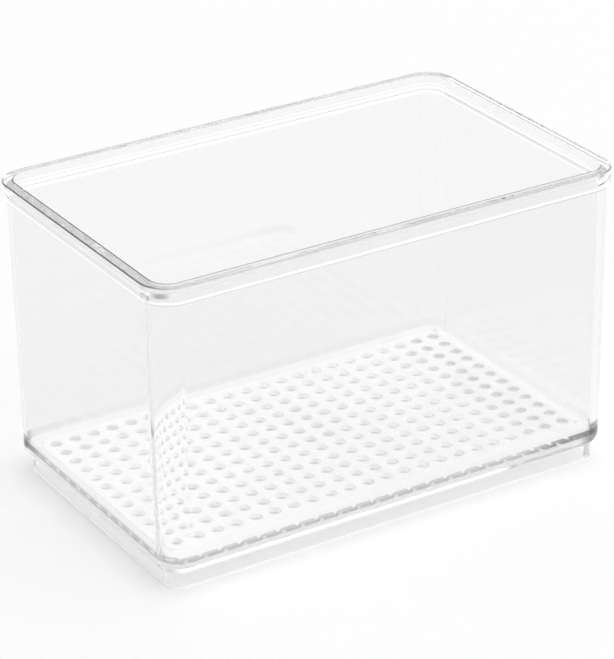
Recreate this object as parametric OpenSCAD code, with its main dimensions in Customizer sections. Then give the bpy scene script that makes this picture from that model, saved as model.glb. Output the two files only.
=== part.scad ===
// Clear stackable fridge bin with a loose perforated drain tray.
// Origin: centre of the foot skirt's bottom plane. +X along the length, +Z up.

/* [Bin] */
// Length over the collar, along X
rim_l = 195.5; // [170:0.5:230]
// Width over the collar, along Y
rim_w = 123; // [100:1:150]
// Height from the foot to the top face of the collar
bin_h = 119.6; // [80:0.2:160]
// Radius of the collar's outside corners
rim_r = 11.6; // [10:0.2:14]
// Thickness of the walls and of the base
wall = 3; // [2.4:0.1:3.2]
// How far each wall leans in from the top down to the rounded bottom edge
draft = 0.6; // [0.2:0.1:1]

/* [Collar] */
// Height of the collar round the top
collar_h = 7.8; // [5:0.2:10]
// How far the collar stands out from the wall
collar_out = 1.5; // [1:0.1:2]
// Radius of the collar's lower outside edge
collar_edge = 2.5; // [2.1:0.1:3]
// Width of the collar's flat top face
rim_face = 4.2; // [3.6:0.1:4.4]
// Depth of the stacking socket inside the collar
socket_d = 3.2; // [2:0.1:4]

/* [Base and foot] */
// Radius of the rounded bottom edge
bottom_r = 5.5; // [4.5:0.5:7]
// Distance from the underside of the base down to the foot's bottom
foot_h = 5.7; // [4.5:0.1:8]
// How far the foot skirt stands in from the bottom of the wall
foot_inset = 3; // [2.4:0.1:3.6]
// Thickness of the foot skirt
foot_wall = 2.2; // [1.6:0.1:3]
// Diameter of the moulding gate's pad under the base
gate_d = 16; // [8:1:24]
// Height of the moulding gate's pad
gate_h = 0.6; // [0.3:0.1:1]

/* [Drain tray] */
// Gap between the tray and the bin's wall
tray_gap = 1.1; // [0.8:0.1:2]
// Height of the tray's perforated field above the bin's floor
tray_h = 4.4; // [3.2:0.1:6]
// Thickness of the perforated field
field_t = 2; // [1.6:0.1:2.4]
// Step from the field down to the plain border
field_step = 0.6; // [0.4:0.1:1]
// Distance between hole centres, both ways
pitch = 8; // [7:0.5:14]
// Diameter of a drain hole
hole_d = 4.6; // [3:0.1:5]
// Least distance from a tray end to a hole centre
end_margin = 7; // [6:0.5:9]
// Least distance from a tray side to a hole centre
side_margin = 10; // [6:0.5:11]
// Diameter of a tray foot
peg_d = 4.4; // [3:0.1:4.8]

/* [Hidden] */
$fn = 64;
eps = 0.01;

// Levels above the foot's bottom plane
base_z = foot_h;
floor_z = base_z + wall;
collar_z = bin_h - collar_h;
socket_z = bin_h - socket_d;

// The wall's outside and inside at the top
body_l = rim_l - 2 * collar_out;
body_w = rim_w - 2 * collar_out;
body_r = rim_r - collar_out;
cavity_l = body_l - 2 * wall;
cavity_w = body_w - 2 * wall;
cavity_r = body_r - wall;
floor_r = bottom_r - wall;

// The stacking socket inside the collar
socket_l = rim_l - 2 * rim_face;
socket_w = rim_w - 2 * rim_face;
socket_r = rim_r - rim_face;

// The foot skirt
foot_l = body_l - 2 * draft - 2 * foot_inset;
foot_w = body_w - 2 * draft - 2 * foot_inset;
foot_r = body_r - draft - foot_inset;
foot_in_r = foot_r - foot_wall;

// The drain tray
tray_l = cavity_l - 2 * draft - 2 * tray_gap;
tray_w = cavity_w - 2 * draft - 2 * tray_gap;
tray_r = cavity_r - draft - tray_gap;
cols = floor((tray_l - 2 * end_margin) / pitch) + 1;
rows = floor((tray_w - 2 * side_margin) / pitch) + 1;
field_edge = 5.3;
field_r = 5;
field_l = (cols - 1) * pitch + 2 * field_edge;
field_w = (rows - 1) * pitch + 2 * field_edge;
field_z = floor_z + tray_h;
plate_z = field_z - field_t;
border_z = field_z - field_step;

// The feet stand between four holes each, in a grid of 5 by 3
peg_step_x = floor((cols / 2 - 1) / 2);
peg_step_y = floor(rows / 2 - 1);
peg_shift_x = (cols % 2) / 2;
peg_shift_y = (rows % 2) / 2;

// Rectangle with round corners, centred on the origin
module round_rect(l, w, r) {
    square([l - 2 * r, w], center = true);
    square([l, w - 2 * r], center = true);
    for (x = [-1, 1], y = [-1, 1])
        translate([x * (l / 2 - r), y * (w / 2 - r)])
            circle(r);
}

// Upright block with round corners, from level z0 to level z1
module block(l, w, r, z0, z1) {
    translate([0, 0, z0])
        linear_extrude(z1 - z0)
            round_rect(l, w, r);
}

// Side view of a block with sides that lean in by d and bottom corners of radius b
module tub_profile(l, b, d, h) {
    polygon([
        [-l / 2 + d, b],
        [l / 2 - d, b],
        [l / 2, h],
        [-l / 2, h]
    ]);
    translate([-l / 2 + d + b, 0])
        square([l - 2 * d - 2 * b, h]);
    for (x = [-1, 1])
        translate([x * (l / 2 - d - b), b])
            circle(b);
}

// Half of that side view, for turning a round corner of radius r
module corner_profile(r, b, d, h) {
    intersection() {
        tub_profile(2 * r, b, d, h);
        square([r, h]);
    }
}

// Block with round corners (r), a rounded bottom edge (b) and sides that lean in by d,
// from level z0 to level z1
module tub(l, w, r, b, d, z0, z1) {
    h = z1 - z0;
    translate([0, 0, z0]) {
        translate([0, w / 2 - r, 0])
            rotate([90, 0, 0])
                linear_extrude(w - 2 * r)
                    tub_profile(l, b, d, h);
        translate([-l / 2 + r, 0, 0])
            rotate([90, 0, 90])
                linear_extrude(l - 2 * r)
                    tub_profile(w, b, d, h);
        for (x = [-1, 1], y = [-1, 1])
            translate([x * (l / 2 - r), y * (w / 2 - r), 0])
                rotate_extrude()
                    corner_profile(r, b, d, h);
    }
}

module bin_body() {
    color([0.93, 0.95, 0.96, 0.35])
        difference() {
            union() {
                block(foot_l, foot_w, foot_r, 0, base_z + wall / 2);
                tub(body_l, body_w, body_r, bottom_r, draft, base_z, bin_h);
                tub(rim_l, rim_w, rim_r, collar_edge, 0, collar_z, bin_h);
            }
            tub(cavity_l, cavity_w, cavity_r, floor_r, draft, floor_z, bin_h);
            block(socket_l, socket_w, socket_r, socket_z, bin_h + 1);
            difference() {
                block(foot_l - 2 * foot_wall, foot_w - 2 * foot_wall, foot_in_r, -1, base_z);
                translate([0, 0, base_z - gate_h])
                    cylinder(d = gate_d, h = gate_h + eps);
            }
        }
}

// One foot between every pair of chosen columns and rows of holes
module tray_feet() {
    for (i = [-2:2], j = [-1:1])
        translate([(i * peg_step_x + peg_shift_x) * pitch, (j * peg_step_y + peg_shift_y) * pitch, floor_z])
            cylinder(d = peg_d, h = plate_z - floor_z + eps);
}

module drain_holes() {
    for (i = [0:cols - 1], j = [0:rows - 1])
        translate([(i - (cols - 1) / 2) * pitch, (j - (rows - 1) / 2) * pitch, plate_z - 1])
            cylinder(d = hole_d, h = field_t + 2);
}

module drain_tray() {
    color([0.95, 0.95, 0.94])
        difference() {
            union() {
                block(tray_l, tray_w, tray_r, plate_z, border_z);
                block(field_l, field_w, field_r, plate_z, field_z);
                tray_feet();
            }
            drain_holes();
        }
}

bin_body();
drain_tray();
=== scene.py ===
"""Looks of a clear stackable fridge bin and its drain tray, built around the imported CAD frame."""

import math

import bmesh
import bpy
from mathutils import Euler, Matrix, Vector


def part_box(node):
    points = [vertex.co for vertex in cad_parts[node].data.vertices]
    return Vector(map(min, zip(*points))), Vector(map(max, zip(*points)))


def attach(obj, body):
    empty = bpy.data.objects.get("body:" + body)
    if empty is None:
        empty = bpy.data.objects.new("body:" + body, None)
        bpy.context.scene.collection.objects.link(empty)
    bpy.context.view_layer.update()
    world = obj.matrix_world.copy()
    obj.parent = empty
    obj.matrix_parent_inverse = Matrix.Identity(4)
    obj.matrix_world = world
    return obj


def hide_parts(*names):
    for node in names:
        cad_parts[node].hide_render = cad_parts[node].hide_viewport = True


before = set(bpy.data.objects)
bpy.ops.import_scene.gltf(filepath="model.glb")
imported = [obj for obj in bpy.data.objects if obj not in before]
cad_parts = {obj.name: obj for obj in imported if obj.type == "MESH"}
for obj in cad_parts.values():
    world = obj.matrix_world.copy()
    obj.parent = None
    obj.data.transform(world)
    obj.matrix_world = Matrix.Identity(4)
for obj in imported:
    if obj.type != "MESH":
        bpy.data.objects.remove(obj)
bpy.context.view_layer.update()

MM = 0.001
TINY = 1e-6

# ---------------------------------------------------------------------------
# Sizes, in metres. The outer sizes come from the frame.
# ---------------------------------------------------------------------------

BIN_LOW, BIN_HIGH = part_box("bin_body")
TRAY_LOW, TRAY_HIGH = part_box("drain_tray")

RIM_L = BIN_HIGH.x - BIN_LOW.x
RIM_W = BIN_HIGH.y - BIN_LOW.y
RIM_Z = BIN_HIGH.z
RIM_R = 11.6 * MM

# How far each face stands in from the collar's outside; the walls lean in by DRAFT towards the base
WALL = 3 * MM
DRAFT = 0.6 * MM
WALL_IN = 1.5 * MM
WALL_LOW_IN = WALL_IN + DRAFT
SOCKET_IN = 4.2 * MM
CAVITY_IN = WALL_IN + WALL
CAVITY_LOW_IN = CAVITY_IN + DRAFT
FOOT_IN = WALL_LOW_IN + 3 * MM
FOOT_INNER_IN = FOOT_IN + 2.2 * MM

# Levels
BASE_Z = 5.7 * MM
FLOOR_Z = TRAY_LOW.z
COLLAR_Z = RIM_Z - 7.8 * MM
SOCKET_Z = RIM_Z - 3.2 * MM

# Radii of the bin's rounded edges
COLLAR_R = 2.5 * MM
HOLLOW_R = 0.5 * MM
RIM_OUTER_R = 0.5 * MM
RIM_INNER_R = 0.15 * MM
LEDGE_R = 0.12 * MM
BOTTOM_R = 5.5 * MM
FLOOR_R = BOTTOM_R - WALL
# The least radius of a round corner seen from above
LEAST_R = 0.3 * MM

# Tray
TRAY_L = TRAY_HIGH.x - TRAY_LOW.x
TRAY_W = TRAY_HIGH.y - TRAY_LOW.y
TRAY_R = 5.4 * MM
FIELD_Z = TRAY_HIGH.z
PLATE_Z = FIELD_Z - 2 * MM
BORDER_Z = FIELD_Z - 0.6 * MM
PITCH = 8 * MM
HOLE_R = 2.3 * MM
HOLE_EDGE_R = 0.35 * MM
COLS, ROWS = 22, 12
FIELD_EDGE = 5.3 * MM
FIELD_L = (COLS - 1) * PITCH + 2 * FIELD_EDGE
FIELD_W = (ROWS - 1) * PITCH + 2 * FIELD_EDGE
FIELD_R = 5 * MM

# The tray's feet: 5 by 3 of them, every fifth pitch
PEG_R = 2.2 * MM
PEG_STEP = 5 * PITCH

# Steps round each corner of a loop, and round a hole or a foot
CORNER_STEPS = 14
HOLE_STEPS = 24

# ---------------------------------------------------------------------------
# Lines and spots of painted shade and painted light on the bin's points, in place of refraction's lines
# ---------------------------------------------------------------------------

# Where the painted shade line along the rim's inner edge begins
LINE_IN = SOCKET_IN - 0.5 * MM
# How far below the collar's top the painted shade spots at its corners are, and the painted highlight line
# under them
SPOT_DROP = 3 * MM
LIGHT_DROP = 5.8 * MM

# How much light the painted shade lines on the rim's two edges take away: towards -X, towards -Y, and
# everywhere
INNER_EDGE_SHADE = (0.92, 0.75, 0.05)
OUTER_EDGE_SHADE = (0.78, 0.3, 0.03)
# How much more painted shade the outer one has at the corner (+X, -Y)
RIGHT_CORNER_SHADE = 0.5
# How much light the painted shade takes away at the spots, the foot's bottom edge towards -X and the bend
# above the foot towards -Y
SPOT_SHADE = 0.55
FOOT_EDGE_SHADE = 0.35
BEND_SHADE = 0.25

# How brightly the painted light shines: highlights at the light line, the hollow below the collar and the
# foot's bottom edge towards -Y, and light on the shaded skirt; and how much less the skirt has towards -Y
LIGHT_LINE_GLOW = 0.7
HOLLOW_GLOW = 0.12
FOOT_EDGE_GLOW = 0.8
SKIRT_GLOW = 0.22
SKIRT_SIDE_LOSS = 0.04
# How brightly the painted highlights on the rim's outer edge and the hollow shine on the two far walls, and
# how much more the collar's lower edge does there
FAR_RIM_GLOW = 0.15
FAR_HOLLOW_GLOW = 0.4
FAR_EDGE_GLOW = 1.6

# ---------------------------------------------------------------------------
# Places in the materials, in mm
# ---------------------------------------------------------------------------

HALF_L = RIM_L / 2 / MM
HALF_W = RIM_W / 2 / MM
HALF_FIELD_L = FIELD_L / 2 / MM
HALF_FIELD_W = FIELD_W / 2 / MM
TOP = RIM_Z / MM
LEDGE = SOCKET_Z / MM
BASE = BASE_Z / MM

# The band above the rounded bottom edge, a painted refraction of the tray's edge seen through the wall: its
# middle, how much lower that is on the long sides, its half height, and where its edges fade out, in half
# heights
BAND_Z = 13.2
BAND_DROP = 0.3
BAND_HALF = 1.25
BAND_FADE = (1.15, 0.85)
# The rows of marks in the band: the first mark's place along the side, and a mark's half width
NOTCHES_ABOVE = (5.2, 1.2)
NOTCHES_BELOW = (7.6, 1.3)
EYES = (0, 1.9)
# How far the notches reach into the band, in half heights
NOTCH_DEPTH = 1.1
# Strength of the painted band on the long sides, how much more it has on the short ones and at its solid
# corners
BAND_DARK = 0.22
BAND_SHORT_DARK = 0.07
BAND_CORNER_DARK = 0.4
# Where the band gets darker, turns solid and widens to a wedge, on a scale that is 2 at its two corners
DARKER_FROM = (1.5, 1.8)
SOLID_FROM = (1.72, 1.82)
WEDGE_FROM = (1.8, 1.86)
# How much red, green and blue the painted band takes away on top of its strength
BAND_LOSSES = (0, 0.05, 0.14)

# Where the moulding gate dulls the tray's holes
GATE_X, GATE_Y = 4, 8

# ---------------------------------------------------------------------------
# Colours
# ---------------------------------------------------------------------------

# The clear plastic's surface, the same in red, green and blue, and the colour that its depth takes on
CLEAR = 0.945
CLEAR_DEPTH = (0.52, 0.49, 0.46, 1)
TRAY_COLOUR = (0.97, 0.96, 0.93)
# The colour of the painted light the tray gives off
TRAY_GLOW = (1, 0.98, 0.95, 1)
WHITE = (1, 1, 1, 1)
FLOOR_COLOUR = (0.43, 0.43, 0.435, 1)


# ---------------------------------------------------------------------------
# Mesh helpers
# ---------------------------------------------------------------------------


def loop_angle(point):
    """The direction, in radians from +X, that a point of a loop with round corners faces."""
    quarter, step = divmod(point, CORNER_STEPS + 1)
    return math.pi / 2 * (quarter + step / CORNER_STEPS)


def ring_points(length, width, radius, z):
    """Points round a rectangle with round corners, counter-clockwise, always the same number."""
    points = []
    for quarter, (sx, sy) in enumerate(((1, 1), (-1, 1), (-1, -1), (1, -1))):
        cx = sx * (length / 2 - radius)
        cy = sy * (width / 2 - radius)
        for step in range(CORNER_STEPS + 1):
            angle = loop_angle(quarter * (CORNER_STEPS + 1) + step)
            points.append((cx + radius * math.cos(angle), cy + radius * math.sin(angle), z))
    return points


def circle_points(x, y, radius, z):
    """Points round an upright circle, counter-clockwise."""
    turn = 2 * math.pi / HOLE_STEPS
    return [(x + radius * math.cos(k * turn), y + radius * math.sin(k * turn), z) for k in range(HOLE_STEPS)]


def arc(x, z, radius, first, last, steps):
    """Points on a circle round (x, z), from one angle in degrees to another."""
    turns = [math.radians(first + (last - first) * k / steps) for k in range(steps + 1)]
    return [(x + radius * math.cos(t), z + radius * math.sin(t)) for t in turns]


def rounded_path(corners, steps=5):
    """Points along a path of corners (across, up, radius), each corner turned with an arc of that radius."""
    path = []
    for i, (x, z, radius) in enumerate(corners):
        here = Vector((x, z))
        if radius == 0 or i in (0, len(corners) - 1):
            path.append((x, z))
            continue
        back = (Vector(corners[i - 1][:2]) - here).normalized()
        ahead = (Vector(corners[i + 1][:2]) - here).normalized()
        half = back.angle(ahead) / 2
        centre = here + (back + ahead).normalized() * radius / math.sin(half)
        start = here + back * radius / math.tan(half) - centre
        end = here + ahead * radius / math.tan(half) - centre
        sweep = start.angle(end)
        for k in range(steps + 1):
            t = k / steps
            blend = (start * math.sin((1 - t) * sweep) + end * math.sin(t * sweep)) / math.sin(sweep)
            path.append(tuple(centre + blend))
    return path


def add_loop(mesh, points):
    return [mesh.verts.new(p) for p in points]


def bridge(mesh, loops):
    """Quads between each loop and the next, all of the same number of points."""
    for low, high in zip(loops, loops[1:]):
        count = len(low)
        for k in range(count):
            mesh.faces.new((low[k], low[(k + 1) % count], high[(k + 1) % count], high[k]))


def loop_edges(mesh, loop):
    """The edges round a loop, made where they are missing."""
    edges = []
    for k, a in enumerate(loop):
        b = loop[(k + 1) % len(loop)]
        edges.append(mesh.edges.get((a, b)) or mesh.edges.new((a, b)))
    return edges


def fill_flat(mesh, edges):
    """Flat triangles between the edges of an outline and of the holes in it."""
    bmesh.ops.triangle_fill(mesh, use_beauty=True, use_dissolve=False, edges=edges)


def finish_object(mesh, name, material, body, node):
    """Makes the piece, smooth with flat faces kept flat, riding on its body in place of its CAD node."""
    bmesh.ops.remove_doubles(mesh, verts=mesh.verts, dist=TINY)
    bmesh.ops.recalc_face_normals(mesh, faces=mesh.faces)
    for face in mesh.faces:
        face.smooth = True
    data = bpy.data.meshes.new(name)
    mesh.to_mesh(data)
    mesh.free()
    piece = bpy.data.objects.new(name, data)
    bpy.context.scene.collection.objects.link(piece)
    data.materials.append(material)
    weighted = piece.modifiers.new("flat faces", "WEIGHTED_NORMAL")
    weighted.weight = 100
    weighted.keep_sharp = False
    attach(piece, body)
    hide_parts(node)


# ---------------------------------------------------------------------------
# Shader helpers
# ---------------------------------------------------------------------------


class Value:
    """A number that a shader works out at each point. Arithmetic on it adds the nodes that do the same."""

    def __init__(self, tree, socket):
        self.tree = tree
        self.socket = socket

    def calc(self, operation, *terms):
        """A Math node over values and plain numbers."""
        node = self.tree.nodes.new("ShaderNodeMath")
        node.operation = operation
        for socket, term in zip(node.inputs, terms):
            if isinstance(term, Value):
                term.feed(socket)
            else:
                socket.default_value = term
        return Value(self.tree, node.outputs["Value"])

    def __add__(self, other):
        return self.calc("ADD", self, other)

    def __sub__(self, other):
        return self.calc("SUBTRACT", self, other)

    def __rsub__(self, other):
        return self.calc("SUBTRACT", other, self)

    def __mul__(self, other):
        return self.calc("MULTIPLY", self, other)

    def __truediv__(self, other):
        return self.calc("DIVIDE", self, other)

    def __abs__(self):
        return self.calc("ABSOLUTE", self)

    def larger(self, other):
        return self.calc("MAXIMUM", self, other)

    def length_with(self, other):
        """Length of the arrow with this value and the other one as its two sides."""
        return self.calc("SQRT", self * self + other * other)

    def fade(self, start, end, top=1.0):
        """Goes softly from 0 to top while the value goes from start to end."""
        node = self.tree.nodes.new("ShaderNodeMapRange")
        node.interpolation_type = "SMOOTHSTEP"
        node.inputs["From Min"].default_value = start
        node.inputs["From Max"].default_value = end
        node.inputs["To Max"].default_value = top
        self.feed(node.inputs["Value"])
        return Value(self.tree, node.outputs["Result"])

    def near_every_pitch(self, first, half_width):
        """1 at the first of a row of places a hole pitch apart, down to 0 at half_width from them, in mm."""
        pitches = (self - first) / (PITCH / MM)
        away = self.calc("PINGPONG", pitches, 0.5) * (PITCH / MM / half_width)
        return (1 - away).larger(0)

    def feed(self, socket):
        self.tree.links.new(self.socket, socket)


def new_material(name):
    material = bpy.data.materials.new(name)
    material.use_nodes = True
    return material, material.node_tree, material.node_tree.nodes["Principled BSDF"]


def position_mm(tree):
    """The object's own X, Y and Z in millimetres."""
    coords = tree.nodes.new("ShaderNodeTexCoord")
    scale = tree.nodes.new("ShaderNodeVectorMath")
    scale.operation = "SCALE"
    scale.inputs["Scale"].default_value = 1 / MM
    split = tree.nodes.new("ShaderNodeSeparateXYZ")
    tree.links.new(coords.outputs["Object"], scale.inputs[0])
    tree.links.new(scale.outputs["Vector"], split.inputs["Vector"])
    return [Value(tree, socket) for socket in split.outputs]


def painted(tree, name):
    """A value painted on the mesh's points."""
    node = tree.nodes.new("ShaderNodeAttribute")
    node.attribute_name = name
    return Value(tree, node.outputs["Fac"])


def feed_colour(tree, channels, socket):
    """Links the values for red, green and blue to a colour's socket."""
    node = tree.nodes.new("ShaderNodeCombineXYZ")
    for channel, value in zip(node.inputs, channels):
        value.feed(channel)
    tree.links.new(node.outputs["Vector"], socket)


# ---------------------------------------------------------------------------
# Materials
# ---------------------------------------------------------------------------


def base_band(x, y, z):
    """Darkness of the painted band above the rounded bottom edge: a painted refraction of the tray's edge
    with its rows of holes as it shows through the wall, notched from above and below on the long sides, a row
    of light eyes on the short ones, solid towards two corners."""
    # From 0 across the middle of the bin to 2 at the corners (-X, +Y) and (+X, -Y)
    corner = abs(x / HALF_L - y / HALF_W)
    long_side = abs(y).fade(HALF_W - 4, HALF_W - 2.5)
    short_side = 1 - long_side
    # 1 at the band's upper edge and -1 at its lower edge
    up = (z - (BAND_Z - long_side * BAND_DROP)) / BAND_HALF
    plain = abs(up).fade(*BAND_FADE)

    # The notches of the long sides lean over towards the solid end
    lean = x + up * x.fade(20, 60, 1.6)
    above = lean.near_every_pitch(*NOTCHES_ABOVE) * NOTCH_DEPTH
    below = lean.near_every_pitch(*NOTCHES_BELOW).fade(0, 0.8) * NOTCH_DEPTH
    notched = (up + above).fade(*BAND_FADE) * (below - up).fade(*BAND_FADE)

    # The eyes are a little above the band's middle
    across = 1 - y.near_every_pitch(*EYES)
    eyed = across.length_with((up - 0.15) / 0.65).fade(0.4, 1.2) * plain

    # The band is solid near the two corners, and at the corners a wedge reaches down to the foot
    solid = (corner + short_side * 0.17).fade(*SOLID_FROM)
    wedge = corner.fade(*WEDGE_FROM) * (z.fade(BASE + 1.8, BASE + 3.3) * z.fade(BAND_Z + 1.5, BAND_Z + 0.5))
    body = (notched * long_side + eyed * short_side).larger(plain * solid).larger(wedge)
    strength = corner.fade(*DARKER_FROM, BAND_CORNER_DARK) + (short_side * BAND_SHORT_DARK + BAND_DARK)

    # The +X and +Y sides have little of it
    far_end = y.fade(-HALF_W + 6.5, -HALF_W + 12.5) * x.fade(HALF_L - 17.75, HALF_L - 7.75)
    far_side = x.fade(-HALF_L + 5.75, -HALF_L + 12.75) * y.fade(HALF_W - 16.5, HALF_W - 6.5)
    near = far_end.larger(far_side).fade(1, 0, 0.85) + 0.15
    return body * strength * near


def foot_corners(x, y, z):
    """Painted shade on the foot skirt's round corners at the two ends that the wedges of the band reach."""
    # The largest difference between x and y on the skirt
    reach = (RIM_L + RIM_W) / 2 / MM - 2 * RIM_R / MM + math.sqrt(2) * (RIM_R - FOOT_IN) / MM
    stripe = abs(x - y).fade(reach - 0.8, reach - 0.3, 0.5)
    return stripe * z.fade(BASE + 0.7, BASE + 0.3)


def clear_plastic():
    material, tree, shader = new_material("clear_plastic")
    x, y, z = position_mm(tree)
    # Painted shade: the collar and its top face are a little darker on the -X end and the -Y side
    end_wall = x.fade(-HALF_L + 14, -HALF_L + 5)
    side_wall = y.fade(-HALF_W + 14, -HALF_W + 5)
    near = end_wall.larger(side_wall * 0.6)
    collar = z.fade(LEDGE - 2.2, LEDGE - 1.8) * near * 0.02
    top = z.fade(TOP - 0.12, TOP - 0.02) * (near * 0.1 + 0.02)
    # Painted shade: the dark lines and spots painted on the points, the near-side shade and, on the outside,
    # the painted band take light away
    band = painted(tree, "outer") * base_band(x, y, z).larger(foot_corners(x, y, z))
    light = 1 - painted(tree, "edge").larger(collar).larger(top).larger(band)
    # Each surface lets through the square root of the base colour
    light = light * light
    channels = [(CLEAR - band * loss) * light for loss in BAND_LOSSES]
    feed_colour(tree, channels, shader.inputs["Base Color"])
    # Painted light: the plastic gives off white light where highlights are painted on its points
    shader.inputs["Emission Color"].default_value = WHITE
    (painted(tree, "painted_glow") * 0.3).feed(shader.inputs["Emission Strength"])
    shader.inputs["Transmission Weight"].default_value = 1
    shader.inputs["IOR"].default_value = 1.57
    shader.inputs["Roughness"].default_value = 0.0

    absorb = tree.nodes.new("ShaderNodeVolumeAbsorption")
    absorb.inputs["Color"].default_value = CLEAR_DEPTH
    absorb.inputs["Density"].default_value = 1
    haze = tree.nodes.new("ShaderNodeVolumeScatter")
    haze.inputs["Color"].default_value = WHITE
    haze.inputs["Density"].default_value = 0.5
    both = tree.nodes.new("ShaderNodeAddShader")
    tree.links.new(absorb.outputs["Volume"], both.inputs[0])
    tree.links.new(haze.outputs["Volume"], both.inputs[1])
    tree.links.new(both.outputs["Shader"], tree.nodes["Material Output"].inputs["Volume"])
    return material


def tray_plastic():
    material, tree, shader = new_material("tray_plastic")
    x, y, _ = position_mm(tree)
    hole = painted(tree, "hole")
    hole_shade = painted(tree, "hole_shade")
    # How brightly the holes' walls are lit: not at the +X end, and little at the corner (-X, +Y)
    lit = x.fade(HALF_L - 12, HALF_L - 50) * (1 - (y - x * 0.5).fade(45, 85, 0.7))
    gate = (x - GATE_X).length_with((y - GATE_Y) * 0.6)
    lit = lit * (gate.fade(7, 12, 0.4) + 0.6)

    # Painted shade on the border towards +X and +Y, and a little across the tray towards -X
    border = x.fade(HALF_FIELD_L - 0.4, HALF_FIELD_L + 0.2, 0.12)
    border = border.larger(y.fade(HALF_FIELD_W - 0.4, HALF_FIELD_W + 0.2, 0.12))
    shade = (hole_shade * 0.52).larger(hole * lit.fade(1, 0, 0.3)).larger(border).larger(x.fade(0, -90, 0.05))
    bright = 1 - shade
    feed_colour(tree, [bright * part for part in TRAY_COLOUR], shader.inputs["Base Color"])
    # Painted light: the holes' walls give off light, and the tray a little more towards +X
    shader.inputs["Emission Color"].default_value = TRAY_GLOW
    painted_glow = (hole - hole_shade) * lit * 0.1 + x.fade(0, 90, 0.05)
    painted_glow.feed(shader.inputs["Emission Strength"])
    shader.inputs["Roughness"].default_value = 0.35
    shader.inputs["Subsurface Weight"].default_value = 1
    shader.inputs["Subsurface Radius"].default_value = (1, 0.97, 0.93)
    shader.inputs["Subsurface Scale"].default_value = 0.006
    return material


# ---------------------------------------------------------------------------
# The bin
# ---------------------------------------------------------------------------


def foot_profile():
    """The foot skirt and the rounded bottom edge as (inset from the collar's outside, height)."""
    bend_in = WALL_LOW_IN + BOTTOM_R
    bend_z = BASE_Z + BOTTOM_R
    turn = math.degrees(math.acos((bend_in - FOOT_IN) / BOTTOM_R))
    foot = rounded_path(
        [
            (FOOT_INNER_IN + 3 * MM, BASE_Z, 0),
            (FOOT_INNER_IN, BASE_Z, 0.5 * MM),
            (FOOT_INNER_IN, 0, 0.25 * MM),
            (FOOT_IN, 0, 0.35 * MM),
            (FOOT_IN, bend_z - BOTTOM_R * math.sin(math.radians(turn)), 0),
        ]
    )
    return foot + arc(bend_in, bend_z, BOTTOM_R, 180 + turn, 180, 14)[1:]


def collar_profile():
    """The collar's outside: a hollow where it leaves the wall, a round of radius COLLAR_R and its upright
    face, with points where the painted shade and painted light on that face change."""
    round_z = COLLAR_Z + COLLAR_R
    drop = math.sqrt((COLLAR_R + HOLLOW_R) ** 2 - (COLLAR_R - WALL_IN + HOLLOW_R) ** 2)
    turn = math.degrees(math.asin(drop / (COLLAR_R + HOLLOW_R)))
    # This point keeps the painted light of the hollow off the wall
    collar = [(WALL_IN, round_z - drop - 0.1 * MM)]
    collar += arc(WALL_IN - HOLLOW_R, round_z - drop, HOLLOW_R, 0, turn, 4)
    collar += arc(COLLAR_R, round_z, COLLAR_R, 180 + turn, 180, 8)[1:]
    collar += [(0, RIM_Z - SPOT_DROP + step * MM) for step in (-1.4, -0.5, 0.5, 1.4)]
    return collar


def inner_profile(start):
    """From the point start on the collar's outside over its top, down the inside and round to the floor."""
    top = rounded_path(
        [
            start + (0,),
            (0, RIM_Z, RIM_OUTER_R),
            (LINE_IN - 0.1 * MM, RIM_Z, 0),
            (LINE_IN, RIM_Z, 0),
            (SOCKET_IN, RIM_Z, RIM_INNER_R),
            (SOCKET_IN, SOCKET_Z, LEDGE_R),
            (CAVITY_IN, SOCKET_Z, LEDGE_R),
            (CAVITY_IN + 0.01 * MM, SOCKET_Z - 2 * MM, 0),
        ]
    )[1:]
    return top + arc(CAVITY_LOW_IN + FLOOR_R, FLOOR_Z + FLOOR_R, FLOOR_R, 180, 270, 12)


def on_outer_edge(inset, z):
    """1 in the middle of the rim's rounded outer edge, 0 at its ends."""
    away = math.hypot(inset, z - RIM_Z)
    return min(1, max(0, (0.85 * RIM_OUTER_R - away) / (0.15 * RIM_OUTER_R)))


def by_direction(strengths, end, side):
    """The strength of a line at a point that faces the -X end and the -Y side this much."""
    at_end, at_side, everywhere = strengths
    return at_end * end + at_side * side + everywhere


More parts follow.
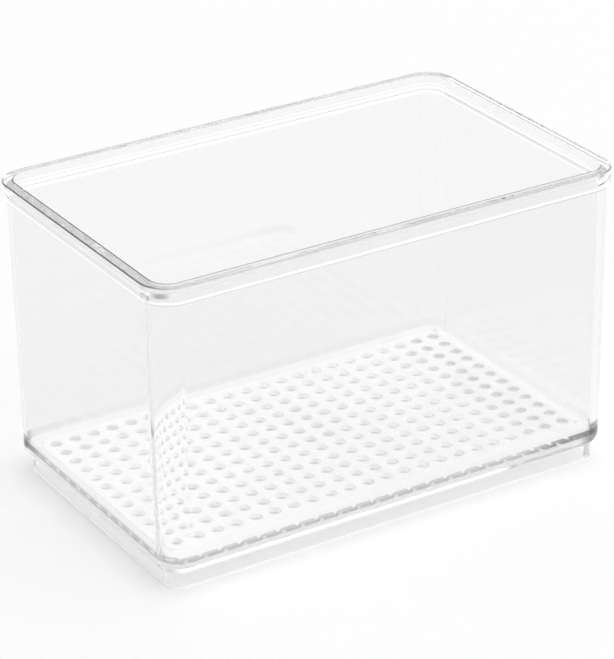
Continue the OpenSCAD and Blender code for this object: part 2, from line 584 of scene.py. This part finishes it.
def paint_loop(loop, paint, inset, z, outer):
    """Paints one loop of the bin: edge is how much light its painted shade takes away, outer is 1 on the
    outside, and the painted light value is how brightly its highlights shine."""
    # Whether the loop is on each line or spot
    outer_edge = on_outer_edge(inset, z)
    inner_edge = inset > LINE_IN - TINY and z > RIM_Z - RIM_INNER_R
    on_collar = outer and inset < WALL_IN + TINY
    spot = on_collar and inset < TINY and abs(RIM_Z - SPOT_DROP - z) < 0.6 * MM
    light_line = on_collar and inset < WALL_IN and abs(RIM_Z - LIGHT_DROP - z) < 0.3 * MM
    hollow = on_collar and COLLAR_Z - 0.15 * MM < z < COLLAR_Z + 0.8 * MM
    low_bend = outer and inset < FOOT_IN - TINY and z < BASE_Z + 1.2 * MM
    skirt = outer and abs(inset - FOOT_IN) < 0.1 * MM and 0.3 * MM < z < BASE_Z + 1 * MM
    foot_edge = math.hypot(inset - FOOT_IN, z) < 0.3 * MM

    # Painted light, in place of highlights: the light line, the hollow, and on the far walls the rim's outer
    # edge
    near_glow = LIGHT_LINE_GLOW * light_line + HOLLOW_GLOW * hollow
    rise = min(1, (z - COLLAR_Z + 0.1 * MM) / (0.3 * MM))
    far_glow = FAR_RIM_GLOW * outer_edge + hollow * (FAR_HOLLOW_GLOW + FAR_EDGE_GLOW * rise)
    for point, vert in enumerate(loop):
        angle = loop_angle(point)
        # How much the point faces the -X end, the -Y side, the two far walls and a corner
        end = max(0, -math.cos(angle)) ** 2
        side = max(0, -math.sin(angle)) ** 2
        far = 1 - min(1, end + side)
        corner = max(0, abs(math.sin(2 * angle)) - 0.8) * 5
        right_corner = max(0, -math.sin(2 * angle)) ** 2 if point >= 3 * (CORNER_STEPS + 1) else 0

        # Painted shade, in place of refraction's dark lines: the rim's edges, the foot's bottom edge, the
        # bend and spots
        edge = inner_edge * by_direction(INNER_EDGE_SHADE, end, side)
        edge += outer_edge * (by_direction(OUTER_EDGE_SHADE, end, side) + RIGHT_CORNER_SHADE * right_corner)
        edge += foot_edge * FOOT_EDGE_SHADE * end
        edge += low_bend * BEND_SHADE * side
        edge += spot * SPOT_SHADE * corner * min(1, 2 * (end + side))
        painted_glow = max(near_glow, far_glow * far)
        # Painted light on the shaded skirt, and a painted highlight on the foot's bottom edge towards -Y
        painted_glow += skirt * (SKIRT_GLOW - SKIRT_SIDE_LOSS * side)
        painted_glow += foot_edge * FOOT_EDGE_GLOW * side
        vert[paint["edge"]] = edge
        vert[paint["outer"]] = outer
        vert[paint["painted_glow"]] = painted_glow


def make_bin():
    mesh = bmesh.new()
    paint = {name: mesh.verts.layers.float.new(name) for name in ("edge", "outer", "painted_glow")}
    outside = foot_profile() + collar_profile()
    inside = inner_profile(outside[-1])
    loops = []
    for k, (inset, z) in enumerate(outside + inside):
        radius = max(RIM_R - inset, LEAST_R)
        loop = add_loop(mesh, ring_points(RIM_L - 2 * inset, RIM_W - 2 * inset, radius, z))
        paint_loop(loop, paint, inset, z, k < len(outside))
        loops.append(loop)
    bridge(mesh, loops)
    mesh.faces.new(loops[0])
    mesh.faces.new(loops[-1])
    finish_object(mesh, "clear_bin", clear_plastic(), "bin", "bin_body")


# ---------------------------------------------------------------------------
# The drain tray
# ---------------------------------------------------------------------------


def lattice():
    """Centres of the drain holes."""
    for i in range(COLS):
        for j in range(ROWS):
            yield (i - (COLS - 1) / 2) * PITCH, (j - (ROWS - 1) / 2) * PITCH


def square_point(x, y, k):
    """Point k of the square cell round the hole at x, y, in the direction of the circle's point k."""
    angle = 2 * math.pi * k / HOLE_STEPS
    c, s = math.cos(angle), math.sin(angle)
    reach = PITCH / 2 / max(abs(c), abs(s))
    return (x + c * reach, y + s * reach, FIELD_Z)


def hole_loops():
    """The loops down a drain hole as (radius, level, hole, hole shade): hole is 1 on its wall, and the hole
    shade is how much painted shade a loop gets."""
    loops = []
    for degrees, hole_shade in ((0, 0), (30, 1), (60, 1.6), (90, 1.6)):
        turn = math.radians(degrees)
        radius = HOLE_R + HOLE_EDGE_R * (1 - math.sin(turn))
        loops.append((radius, FIELD_Z - HOLE_EDGE_R * (1 - math.cos(turn)), 0, hole_shade))
    loops.append((HOLE_R, FIELD_Z - HOLE_EDGE_R - 0.2 * MM, 1, 0))
    loops.append((HOLE_R, PLATE_Z + 0.35 * MM, 1, 0))
    loops.append((HOLE_R - 0.05 * MM, PLATE_Z, 1, 0.6))
    return loops


def add_holes(mesh):
    """The field's square cells, each with a drain hole; returns the holes' lower loops."""
    paint_hole = mesh.verts.layers.float.new("hole")
    hole_shade_layer = mesh.verts.layers.float.new("hole_shade")
    # Painted shade: each hole's upper edge is darkest on the side towards -Y
    shadow_side = [max(0, -math.sin(2 * math.pi * k / HOLE_STEPS + 0.2)) for k in range(HOLE_STEPS)]
    lower_loops = []
    for x, y in lattice():
        loops = [add_loop(mesh, [square_point(x, y, k) for k in range(HOLE_STEPS)])]
        for radius, z, hole, hole_shade in hole_loops():
            loop = add_loop(mesh, circle_points(x, y, radius, z))
            for vert, shadow in zip(loop, shadow_side):
                vert[paint_hole] = hole
                vert[hole_shade_layer] = hole_shade if hole else hole_shade * shadow
            loops.append(loop)
        bridge(mesh, loops)
        lower_loops.append(loops[-1])
    bmesh.ops.remove_doubles(mesh, verts=mesh.verts, dist=TINY)
    return lower_loops


def add_border(mesh):
    """The step down round the field, the plain border and the tray's side; returns the loops."""
    # Both paths count outwards, the first one from the field's outline and the other from the tray's
    step = rounded_path(
        [
            (-1 * MM, FIELD_Z, 0),
            (0, FIELD_Z, 0.3 * MM),
            (0.15 * MM, BORDER_Z, 0.3 * MM),
            (1 * MM, BORDER_Z, 0),
        ],
        4,
    )[1:-1]
    side = rounded_path(
        [
            (-1 * MM, BORDER_Z, 0),
            (0, BORDER_Z, 0.5 * MM),
            (0, PLATE_Z, 0.3 * MM),
            (-1 * MM, PLATE_Z, 0),
        ],
        4,
    )[1:-1]
    rings = [ring_points(FIELD_L + 2 * out, FIELD_W + 2 * out, FIELD_R + out, z) for out, z in step]
    rings += [ring_points(TRAY_L + 2 * out, TRAY_W + 2 * out, TRAY_R + out, z) for out, z in side]
    loops = [add_loop(mesh, points) for points in rings]
    bridge(mesh, loops)
    return loops


def add_feet(mesh):
    """The tray's short feet; returns their upper loops."""
    profile = rounded_path(
        [
            (PEG_R + 1 * MM, PLATE_Z, 0),
            (PEG_R, PLATE_Z, 0.3 * MM),
            (PEG_R - 0.1 * MM, FLOOR_Z, 0.4 * MM),
            (0, FLOOR_Z, 0),
        ],
        3,
    )[1:-1]
    upper_loops = []
    for i in range(-2, 3):
        for j in range(-1, 2):
            loops = [add_loop(mesh, circle_points(i * PEG_STEP, j * PEG_STEP, r, z)) for r, z in profile]
            bridge(mesh, loops)
            mesh.faces.new(loops[-1])
            upper_loops.append(loops[0])
    return upper_loops


def make_tray():
    mesh = bmesh.new()
    hole_bottoms = add_holes(mesh)
    field_outline = [
        edge for edge in mesh.edges
        if edge.is_boundary and all(abs(vert.co.z - FIELD_Z) < TINY for vert in edge.verts)
    ]
    border = add_border(mesh)
    fill_flat(mesh, field_outline + loop_edges(mesh, border[0]))
    foot_tops = add_feet(mesh)
    underside = [border[-1]] + hole_bottoms + foot_tops
    fill_flat(mesh, [edge for loop in underside for edge in loop_edges(mesh, loop)])
    finish_object(mesh, "perforated_tray", tray_plastic(), "tray", "drain_tray")


# ---------------------------------------------------------------------------
# Stage: floor, light and camera
# ---------------------------------------------------------------------------

# Half the floor's length and width
FLOOR_REACH = 6

# Soft boxes: direction towards the light, half angle of its bright middle, half angle where it ends, strength
SOFT_BOXES = [
    ((0.35, -0.2, 1.0), 28, 58, 2.03),
    ((0.52, 0.85, 0.2), 25, 45, 0.5),
]
AMBIENT = 0.2

# The camera's place, its turn in degrees and its focal length in mm
CAMERA_AT = (-0.53493, -0.87743, 0.55313)
CAMERA_TURN = (64.165, 0.877, -31.739)
CAMERA_LENS = 167.03

# Light crosses the clear walls many times, so its paths may be long
LONG_PATH = 512


def make_floor():
    reach = FLOOR_REACH
    corners = [(-reach, -reach, 0), (reach, -reach, 0), (reach, reach, 0), (-reach, reach, 0)]
    data = bpy.data.meshes.new("floor")
    data.from_pydata(corners, [], [(0, 1, 2, 3)])
    floor = bpy.data.objects.new("floor", data)
    bpy.context.scene.collection.objects.link(floor)
    material, _, shader = new_material("floor")
    shader.inputs["Base Color"].default_value = FLOOR_COLOUR
    shader.inputs["Emission Color"].default_value = WHITE
    shader.inputs["Emission Strength"].default_value = 0.468
    shader.inputs["Roughness"].default_value = 0.6
    shader.inputs["Specular IOR Level"].default_value = 0.2
    data.materials.append(material)


def make_world():
    """Soft studio light: a dim room with a few big soft boxes."""
    world = bpy.data.worlds.new("studio")
    world.use_nodes = True
    tree = world.node_tree
    background = tree.nodes["Background"]
    background.inputs["Color"].default_value = WHITE
    coords = tree.nodes.new("ShaderNodeTexCoord")
    total = AMBIENT
    for direction, inner, outer, strength in SOFT_BOXES:
        dot = tree.nodes.new("ShaderNodeVectorMath")
        dot.operation = "DOT_PRODUCT"
        dot.inputs[1].default_value = Vector(direction).normalized()
        tree.links.new(coords.outputs["Generated"], dot.inputs[0])
        towards = Value(tree, dot.outputs["Value"])
        total = towards.fade(math.cos(math.radians(outer)), math.cos(math.radians(inner)), strength) + total
    total.feed(background.inputs["Strength"])
    bpy.context.scene.world = world


def make_camera():
    data = bpy.data.cameras.new("camera")
    camera = bpy.data.objects.new("camera", data)
    bpy.context.scene.collection.objects.link(camera)
    data.sensor_fit = "AUTO"
    data.sensor_width = 36
    data.lens = CAMERA_LENS
    data.clip_end = 20
    camera.location = CAMERA_AT
    camera.rotation_euler = Euler([math.radians(a) for a in CAMERA_TURN], "XYZ")
    bpy.context.scene.camera = camera


def set_look():
    scene = bpy.context.scene
    scene.view_settings.view_transform = "Standard"
    scene.cycles.max_bounces = LONG_PATH
    scene.cycles.transmission_bounces = LONG_PATH
    scene.cycles.glossy_bounces = LONG_PATH
    scene.cycles.volume_bounces = 8
    scene.cycles.diffuse_bounces = 16
    scene.cycles.blur_glossy = 0


make_camera()
make_world()
make_floor()
make_bin()
make_tray()
set_look()
